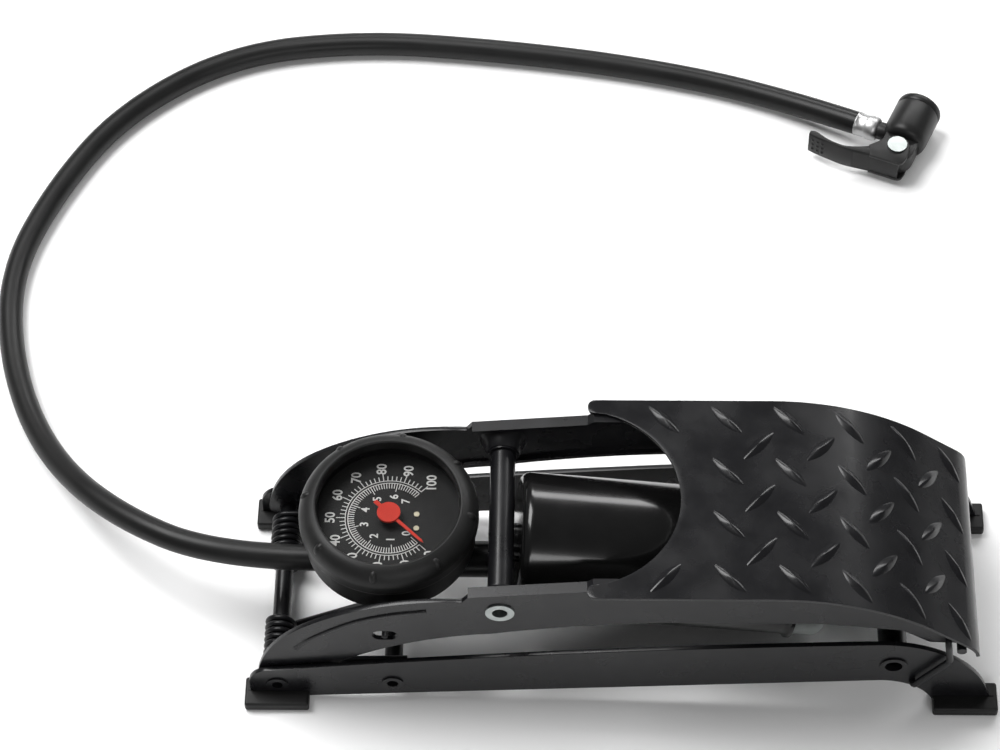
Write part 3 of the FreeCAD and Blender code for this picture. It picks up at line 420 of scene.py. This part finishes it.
def make_hose():
    curve = bpy.data.curves.new("air_hose_line", "CURVE")
    curve.dimensions = "3D"
    line = curve.splines.new("NURBS")
    line.points.add(len(HOSE_ROUTE) - 1)
    for point, place in zip(line.points, HOSE_ROUTE):
        point.co = (*at(*place), 1.0)
    line.order_u = 3
    line.use_endpoint_u = True
    line.resolution_u = 24
    curve.bevel_depth = HOSE_RADIUS
    curve.bevel_resolution = 8
    curve.use_fill_caps = True
    curve.materials.append(HOSE_RUBBER)
    hose = bpy.data.objects.new("hose", curve)
    bpy.context.scene.collection.objects.link(hose)
    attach(hose, "cylinder")
    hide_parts("air_hose")
    return hose


# ---------------------------------------------------------------- tread plate

PLATE_TOP, PLATE_FLAT, PLATE_BEND, PLATE_HALF, PLATE_WALL = 85.5, 205.0, 101.0, 47.9, 1.5
PLATE_TURN = math.radians(40.0)
NOSE_BEND, NOSE_START = 12.0, PLATE_FLAT + PLATE_BEND * PLATE_TURN + 20.0
NOSE_END = NOSE_START + NOSE_BEND * math.radians(40.0)
EDGE_TIP, TIP_ROUND, TIP_DEEP, TIP_START = 44.6, 3.3, 3.0, 132.0
HOLLOW_CENTRE, HOLLOW_ROUND, HOLLOW_EDGE = 124.5, 42.5, 136.0
PLATE_ROWS = 60
LUG_PITCH, LUG_FIRST, LUG_TURN = 25.8, 160.4, math.radians(47)
LUG_LONG, LUG_WIDE, LUG_CROWN, LUG_SUNK, LUG_POINTED = 9.2, 2.7, 1.6, 0.06, 0.45
LUG_RINGS, LUG_SIDES = 7, 28


def on_plate(along, y):
    """A point of the tread's top, and its outward normal, after a distance along the sheet."""
    bent = max(0.0, min(along, NOSE_START) - PLATE_FLAT)
    angle = min(bent / PLATE_BEND, PLATE_TURN)
    rest = bent - angle * PLATE_BEND
    x = min(along, PLATE_FLAT) + PLATE_BEND * math.sin(angle) + rest * math.cos(angle)
    z = PLATE_TOP - PLATE_BEND * (1 - math.cos(angle)) - rest * math.sin(angle)
    if along > NOSE_START:
        further = angle + (along - NOSE_START) / NOSE_BEND
        x += NOSE_BEND * (math.sin(further) - math.sin(angle))
        z += NOSE_BEND * (math.cos(further) - math.cos(angle))
        angle = further
    return at(x, y, z), Vector((math.sin(angle), 0, math.cos(angle)))


def hollow_edge():
    """(y, start) along half of the sheet's front edge: a round tip, then the hollow's arc."""
    half = []
    for step in range(13):
        angle = math.pi * step / 12
        half.append((EDGE_TIP + TIP_ROUND * math.cos(angle),
                     TIP_START - TIP_DEEP * math.sin(angle)))
    wide = math.acos((HOLLOW_EDGE - HOLLOW_CENTRE) / HOLLOW_ROUND)
    for step in range(25):
        angle = wide * (1 - step / 24)
        half.append((HOLLOW_ROUND * math.sin(angle),
                     HOLLOW_CENTRE + HOLLOW_ROUND * math.cos(angle)))
    return half


def make_plate():
    """The bent sheet, as rows that run from its front edge to the end of its nose."""
    half = hollow_edge()
    edge = half + [(-y, start) for y, start in reversed(half[:-1])]
    verts, faces = [], []
    for y, start in edge:
        y = max(-PLATE_HALF, min(PLATE_HALF, y))
        for step in range(PLATE_ROWS + 1):
            share = step / PLATE_ROWS
            verts.append(on_plate(start + (NOSE_END - start) * share, y)[0])
    row = PLATE_ROWS + 1
    for line in range(len(edge) - 1):
        for step in range(PLATE_ROWS):
            here = line * row + step
            faces.append((here, here + 1, here + row + 1, here + row))
    plate = new_piece("tread_sheet", verts, faces, PLATE_PAINT, "treadle")
    if plate.data.polygons[len(faces) // 2].normal.z < 0:
        plate.data.flip_normals()
    skin = plate.modifiers.new("wall", "SOLIDIFY")
    skin.thickness = PLATE_WALL * MM
    skin.offset = -1.0
    skin.use_even_offset = True
    bevelled(plate, 0.5, 50, segments=3)
    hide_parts("tread_plate")


def plate_lug(along, y, slope):
    """A leaf-shaped lug; slope is -1 for one that falls to the right and 1 for one that rises."""
    way = LUG_TURN * slope
    verts, faces = [], []
    for ring in range(LUG_RINGS + 1):
        share = ring / LUG_RINGS
        rise = LUG_CROWN * (1 - share) ** 0.85 - LUG_SUNK
        for step in range(LUG_SIDES):
            angle = 2 * math.pi * step / LUG_SIDES
            u, v = math.cos(angle) * share, math.sin(angle) * share
            long_part = u * LUG_LONG
            wide_part = v * LUG_WIDE * (1 - LUG_POINTED * u * u)
            place, normal = on_plate(
                along + long_part * math.cos(way) - wide_part * math.sin(way),
                y + long_part * math.sin(way) + wide_part * math.cos(way))
            verts.append(place + normal * rise * MM)
        if ring:
            faces += ring_faces(ring, LUG_SIDES)
    return verts, faces


def make_lugs():
    """Six columns of lugs, with another between most of them that leans the other way.

    The first column has only its outer lugs, beside the hollow, and they lean apart.
    """
    parts = []
    for column in range(6):
        along = LUG_FIRST + LUG_PITCH * column
        for y in (-38.2, -12.8, 12.8, 38.2):
            if column == 0 and abs(y) < 20:
                continue
            parts.append(plate_lug(along, y, 1 if column == 0 and y < 0 else -1))
        for y in (-25.5, 0.0, 25.5):
            if 0 < column < 5:
                parts.append(plate_lug(along + LUG_PITCH / 2, y, 1))
    new_piece("tread_lugs", *merged(parts), PLATE_PAINT, "treadle")


# ---------------------------------------------------------------- gauge

GAUGE_X, PRINT_Z = 47.6, 68.83
PSI_STEP, PSI_MAX = math.radians(2.7), 100
PSI_PER_BAR, BAR_MAX = 14.504, 7
DIAL_ZERO = math.radians(-45)
PSI_LINE, PSI_SHORT, PSI_LONG, PSI_HALF = 18.0, 20.4, 21.9, 0.19
BAR_LINE, BAR_SHORT, BAR_LONG, BAR_HALF = 16.9, 14.4, 13.0, 0.17
PSI_ARC, BAR_ARC = 18.1, 17.0
PSI_NUMBERS, PSI_TALL = 24.2, 4.1
BAR_NUMBERS, BAR_TALL = 10.5, 3.5
FONT_SIZE, FONT_WEIGHT, FONT_WIDTH = 1.38, 0.026, 0.94
BUMPS, BUMP_FIRST, BUMP_RADIUS, BUMP_Z = 8, math.radians(-8), 34.8, 78.2
BUMP_SIZE, BUMP_SUNK = (3.0 * MM, 2.0 * MM, 1.55 * MM), 0.6


def dial_bar(angle, inner, outer, half):
    """A printed tick from one radius to another."""
    way = Vector((math.cos(angle), math.sin(angle), 0))
    side = Vector((-way.y, way.x, 0))
    corners = [way * inner - side * half, way * outer - side * half, way * outer + side * half,
               way * inner + side * half]
    return [at(GAUGE_X + c.x, c.y, PRINT_Z) for c in corners], [(0, 1, 2, 3)]


def dial_arc(radius, half, start, end, steps=90):
    verts, faces = [], []
    for step in range(steps + 1):
        angle = start + (end - start) * step / steps
        for r in (radius - half, radius + half):
            verts.append(at(GAUGE_X + r * math.cos(angle), r * math.sin(angle), PRINT_Z))
        if step:
            row = 2 * step - 2
            faces.append((row, row + 1, row + 3, row + 2))
    return verts, faces


def dial_number(text, angle, radius, height):
    """A number, upright where the scale's gap is at the bottom of the dial."""
    curve = bpy.data.curves.new("number", "FONT")
    curve.body = text
    curve.size = height * FONT_SIZE * MM
    curve.align_x, curve.align_y = "CENTER", "CENTER"
    curve.offset = height * FONT_WEIGHT * MM
    letter = bpy.data.objects.new("number", curve)
    mesh = bpy.data.meshes.new_from_object(letter)
    place = at(GAUGE_X + radius * math.cos(angle), radius * math.sin(angle), PRINT_Z)
    pose = (Matrix.Translation(place) @ Matrix.Rotation(math.pi / 2, 4, "Z")
            @ Matrix.Diagonal((FONT_WIDTH, 1.0, 1.0, 1.0)))
    verts = [pose @ vert.co for vert in mesh.vertices]
    faces = [tuple(face.vertices) for face in mesh.polygons]
    bpy.data.objects.remove(letter)
    bpy.data.curves.remove(curve)
    bpy.data.meshes.remove(mesh)
    return verts, faces


def make_dial_print():
    """The outer scale in psi and the inner one in bar, each with ticks, an arc and numbers."""
    parts = []
    for psi in range(0, PSI_MAX + 1, 2):
        tip = PSI_LONG if psi % 10 == 0 else PSI_SHORT
        parts.append(dial_bar(DIAL_ZERO - PSI_STEP * psi, PSI_LINE, tip, PSI_HALF))
    for tenth in range(0, 10 * BAR_MAX):
        tip = BAR_LONG if tenth % 10 == 0 else BAR_SHORT
        angle = DIAL_ZERO - PSI_STEP * PSI_PER_BAR * tenth / 10
        parts.append(dial_bar(angle, tip, BAR_LINE, BAR_HALF))
    for radius in (PSI_ARC, BAR_ARC):
        parts.append(dial_arc(radius, BAR_HALF, DIAL_ZERO, DIAL_ZERO - PSI_STEP * PSI_MAX))
    for psi in range(0, PSI_MAX + 1, 10):
        angle = DIAL_ZERO - PSI_STEP * psi
        parts.append(dial_number(str(psi), angle, PSI_NUMBERS, PSI_TALL))
    for bar in range(0, BAR_MAX + 1):
        angle = DIAL_ZERO - PSI_STEP * min(PSI_PER_BAR * bar, PSI_MAX - 2)
        parts.append(dial_number(str(bar), angle, BAR_NUMBERS, BAR_TALL))
    piece = new_piece("dial_print", *merged(parts), PRINT, "cylinder", smooth=False)
    for face in piece.data.polygons:
        if face.normal.z < 0:
            face.flip()


def make_boot_bumps():
    """Raised ovals spaced round the boot's shoulder."""
    parts = []
    for index in range(BUMPS):
        angle = BUMP_FIRST + 2 * math.pi * index / BUMPS
        out = Vector((math.cos(angle), math.sin(angle), 0))
        side = Vector((-out.y, out.x, 0))
        lean = (out + Vector((0, 0, 1))).normalized()
        along = (out - Vector((0, 0, 1))).normalized()
        centre = at(GAUGE_X, 0, BUMP_Z) + out * BUMP_RADIUS * MM - lean * BUMP_SUNK * MM
        parts.append(dome(centre, along, side, lean, BUMP_SIZE))
    new_piece("gauge_boot_bumps", *merged(parts), BOOT_RUBBER, "cylinder")


# ---------------------------------------------------------------- springs

COIL, WIRE, WIRE_SIDES = 5.45, 1.3, 14
COIL_LONG, COIL_TURNS, COIL_STEPS = 22.4, 7, 260
SLOT, SLOT_INSET, LEG_TIP = (46.4, 46.6), 10, 43.6
LEG_BEND, BEND_STEPS = 4, 8
REST = (54.3, 18.3)
HINGE_Z = 11.1


def touch_angle(target, side):
    """Where a line from the target meets the coil's circle."""
    dx, dz = target[0], target[1] - HINGE_Z
    return math.atan2(dz, dx) + side * math.acos(COIL / math.hypot(dx, dz))


def bent_corner(start, corner, end):
    """Points on a curve that leaves start and reaches end, pulled towards the corner."""
    line = []
    for step in range(BEND_STEPS + 1):
        share = step / BEND_STEPS
        line.append((start * (1 - share) + corner * share) * (1 - share)
                    + (corner * (1 - share) + end * share) * share)
    return line


def make_spring(name, hand, outer):
    """A coil round the hinge with a leg at each end; hand is -1 for the near spring.

    The outer leg rests on the base, and the inner one goes up into the treadle arm's slot.
    """
    inner = outer - COIL_LONG
    first, last = touch_angle(SLOT, -1), touch_angle(REST, 1)
    turns = COIL_TURNS + 1 + (first - last) / (2 * math.pi)
    points = []
    for step in range(COIL_STEPS + 1):
        share = step / COIL_STEPS
        angle = first - share * turns * 2 * math.pi
        points.append(at(COIL * math.cos(angle), hand * (inner + COIL_LONG * share),
                         HINGE_Z + COIL * math.sin(angle)))
    leg_base = at(REST[0], hand * outer, REST[1])
    coil = new_piece(f"spring_{name}_coil", *tube(points + [leg_base], WIRE * MM, WIRE_SIDES),
                     BLACK_WIRE, None)
    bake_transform(coil)
    corner = at(SLOT[0], hand * (inner + SLOT_INSET), SLOT[1])
    tip = at(SLOT[0], hand * LEG_TIP, SLOT[1])
    back, ahead = (points[0] - corner).normalized(), (tip - corner).normalized()
    bend = bent_corner(corner + back * LEG_BEND * MM, corner, corner + ahead * LEG_BEND * MM)
    leg = new_piece(f"spring_{name}_leg",
                    *tube([points[0] - back * 0.2 * MM] + bend + [tip], WIRE * MM, WIRE_SIDES),
                    BLACK_WIRE, "treadle")
    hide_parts(f"torsion_spring_{name}")


# ---------------------------------------------------------------- arms

RIB_LINE = [(9, 35.6), (14, 41.6), (20, 47), (28, 53), (37, 58.5), (50, 63.2), (64, 66)]
ARM_FACE, RIB_RADIUS, RIB_SUNK = 42.8, 1.15, 0.35


def make_ribs():
    """The long bead pressed into each arm's outer face, behind the treadle's hinge."""
    parts = []
    for side in (-1, 1):
        line = [at(x, side * (ARM_FACE - RIB_SUNK), z) for x, z in smooth_line(RIB_LINE)]
        parts.append(tube(line, RIB_RADIUS * MM, 12))
    new_piece("arm_ribs", *merged(parts), BLACK_PAINT, "treadle")


# ---------------------------------------------------------------- chuck

RIVET_AT = (272.2, 239.2, 10.6)
CHUCK_TURN = math.radians(65.5)
CHUCK_AXIS = Vector((math.cos(CHUCK_TURN), math.sin(CHUCK_TURN), 0))
CHUCK_SIDE = Vector((CHUCK_AXIS.y, -CHUCK_AXIS.x, 0))
LEVER_LOW, LEVER_HIGH, EAR_WALL = 4.1, 17.1, 1.6
EAR_PROUD, WALL_INSET = 0.08, 0.3
ARM_FAR_EDGE = [(-39.6, 9.0), (-36.8, 8.5), (-31.6, 3.9), (-25.2, 0.5), (-18.6, -0.1),
                (-12.0, 0.5), (-8.6, 2.2)]
ARM_NEAR_EDGE = [(-40.6, 6.9), (-37.0, 4.4), (-31.7, 1.7), (-25.2, -1.6), (-19.4, -3.7),
                 (-12.2, -5.8), (-9.0, -7.0)]
EAR_LINE = [(-13.0, 0.3), (-8.9, 2.3), (-5.5, 4.5), (0.0, 5.8), (4.1, 4.1), (5.8, 0.0),
            (5.2, -3.6), (3.5, -8.3), (0.5, -10.9), (-6.0, -8.5), (-13.0, -5.8)]
WALL_LINE = [(-12.8, -5.6), (0.0, -10.6), (0.6, -9.1), (-10.9, -4.6), (-12.6, -3.6)]
ARM_SECTION = [(0.0, 0.06), (0.0, 0.94), (0.2, 1.0), (0.8, 1.0), (1.0, 0.94), (1.0, 0.06),
               (0.8, 0.0), (0.2, 0.0)]
GRIP_FIRST, GRIP_PITCH, GRIP_LOW, GRIP_RISE = 2.4, 2.5, 7.6, 3.0
GRIP_SIZE = (0.95 * MM, 0.95 * MM, 0.75 * MM)
BLOCK_HALF, BLOCK_LONG, BLOCK_LOW, BLOCK_HIGH = 7.95, 7.6, 5.85, 15.35
NECK_RADIUS, NECK_LONG = 4.2, 5
FERRULE_LONG = 11.0
CRIMP_AT, CRIMP_LONG, CRIMP_DEEP, CRIMP_FLATS = 3.1, 1.7, 0.3, 6

# (along, radius) in millimetres
BARREL_PROFILE = [(10.6, 6.5), (10.6, 0.0), (6.6, 0.0), (6.6, 7.6), (6.9, 8.9), (7.8, 9.8),
                  (9.4, 10.4), (11.5, 10.6), (26.1, 10.6), (26.25, 10.4), (26.25, 6.5),
                  (10.6, 6.5)]
CAP_PROFILE = [(26.3, 3.9), (26.3, 10.4), (26.45, 10.6), (29.3, 10.6), (30.0, 10.3),
               (30.3, 9.6), (30.3, 4.9), (30.1, 4.3), (29.6, 3.9), (26.3, 3.9)]
FERRULE_PROFILE = [(0.3, 0.0), (0.0, 5.3), (0.1, 5.75), (0.5, 5.8), (0.9, 5.6), (1.4, 5.45),
                   (3.0, 5.4), (4.8, 5.4), (5.4, 5.6), (6.0, 5.78), (7.6, 5.8), (9.2, 5.7),
                   (10.2, 5.3), (10.8, 4.7), (11.0, 4.2), (FERRULE_LONG, 0.0)]


def by_rivet(x, y, z):
    return at(RIVET_AT[0] + x, RIVET_AT[1] + y, z)


def prism(outline, low, high):
    """An outline in the chuck's plan, extruded from one height to another."""
    count = len(outline)
    verts = [by_rivet(x, y, z) for z in (low, high) for x, y in outline]
    faces = [tuple(range(count)), tuple(range(count, 2 * count))]
    faces += [(step, (step + 1) % count, count + (step + 1) % count, count + step)
              for step in range(count)]
    return verts, faces


def lever_arm():
    """The curved arm, as cross-sections between its far edge and its near edge."""
    verts, faces = [], []
    sides = len(ARM_SECTION)
    for index, (back, front) in enumerate(zip(smooth_line(ARM_FAR_EDGE),
                                              smooth_line(ARM_NEAR_EDGE))):
        for across, up in ARM_SECTION:
            x, y = back * (1 - across) + front * across
            verts.append(by_rivet(x, y, LEVER_LOW + (LEVER_HIGH - LEVER_LOW) * up))
        if index:
            faces += ring_faces(index, sides)
    return verts, faces + end_faces(len(verts), sides)


def grip_bumps():
    """Three rows of three bumps where the thumb presses the arm."""
    start, end = Vector(ARM_NEAR_EDGE[0]), Vector(ARM_NEAR_EDGE[2])
    along = (end - start).normalized()
    out = Vector((along.y, -along.x, 0))
    parts = []
    for column in range(3):
        for row in range(3):
            spot = start + along * (GRIP_FIRST + GRIP_PITCH * column)
            centre = by_rivet(spot.x, spot.y, GRIP_LOW + GRIP_RISE * row) + out * 0.1 * MM
            parts.append(dome(centre, Vector((0, 0, 1)), along.to_3d(), out, GRIP_SIZE,
                              rings=3, sides=12))
    return parts


def make_chuck_lever():
    """The thumb lever: its arm, an ear above and below the block, and the wall between them."""
    ear = smooth_line(EAR_LINE, 4)
    parts = [lever_arm(), prism(ear, LEVER_HIGH - EAR_WALL, LEVER_HIGH + EAR_PROUD),
             prism(ear, LEVER_LOW, LEVER_LOW + EAR_WALL),
             prism(WALL_LINE, LEVER_LOW + WALL_INSET, LEVER_HIGH - WALL_INSET)]
    lever = new_piece("chuck_thumb_lever", *merged(parts + grip_bumps()), PLASTIC,
                      "chuck_lever")
    bevelled(lever, 0.4, 40)
    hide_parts("chuck_lever")
    return lever


def block_outline():
    """The block between the ears: round behind the rivet, and straight up to the barrel."""
    corners = []
    for step in range(17):
        angle = math.pi * step / 16
        corners.append(CHUCK_SIDE * (BLOCK_HALF * math.cos(angle))
                       - CHUCK_AXIS * (BLOCK_HALF * math.sin(angle)))
    for reach in (-BLOCK_HALF, BLOCK_HALF):
        corners.append(CHUCK_SIDE * reach + CHUCK_AXIS * BLOCK_LONG)
    return [(corner.x, corner.y) for corner in corners]


def make_chuck_body():
    """The valve barrel, its neck, and the block between the lever's ears."""
    rivet = at(*RIVET_AT)
    neck_start = HOSE_END + HOSE_HEADING * FERRULE_LONG * MM
    neck = tube([neck_start - HOSE_HEADING * MM, neck_start + HOSE_HEADING * NECK_LONG * MM],
                NECK_RADIUS * MM, 24)
    parts = [turned(BARREL_PROFILE, rivet, CHUCK_AXIS), neck,
             prism(block_outline(), BLOCK_LOW, BLOCK_HIGH)]
    body = new_piece("chuck_shell", *merged(parts), PLASTIC, "cylinder")
    bevelled(body, 0.25, 50)
    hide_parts("chuck_body")
    end_cap = new_piece("chuck_end_cap", *turned(CAP_PROFILE, rivet, CHUCK_AXIS), PLASTIC,
                        "cylinder")
    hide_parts("chuck_cap")
    return body, end_cap


def crimp(angle, along):
    """How far a crimping tool's flats press the ferrule in."""
    strength = math.exp(-((along - CRIMP_AT) / CRIMP_LONG) ** 2)
    return -CRIMP_DEEP * strength * (1 + math.cos(CRIMP_FLATS * angle)) / 2


def make_ferrule():
    """A crimped ferrule: six flats over the hose, then a smooth round shoulder."""
    ferrule = new_piece("chuck_crimp_ferrule",
                        *turned(FERRULE_PROFILE, HOSE_END, HOSE_HEADING, 72, crimp),
                        ALUMINIUM, "cylinder")
    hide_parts("chuck_ferrule")
    return ferrule


# ---------------------------------------------------------------- build

make_camera()
make_floor()
make_studio()
finish_cad_nodes()
hose = make_hose()
make_lugs()
make_dial_print()
make_boot_bumps()
make_plate()
make_ribs()
make_spring("near", -1, 37.2)
make_spring("far", 1, 35.2)
on_hose = [make_ferrule(), *make_chuck_body(), make_chuck_lever()]
for sheet in ("base_rail_near", "base_rail_far", "treadle_arm_near", "treadle_arm_far"):
    soften_sheet(sheet)
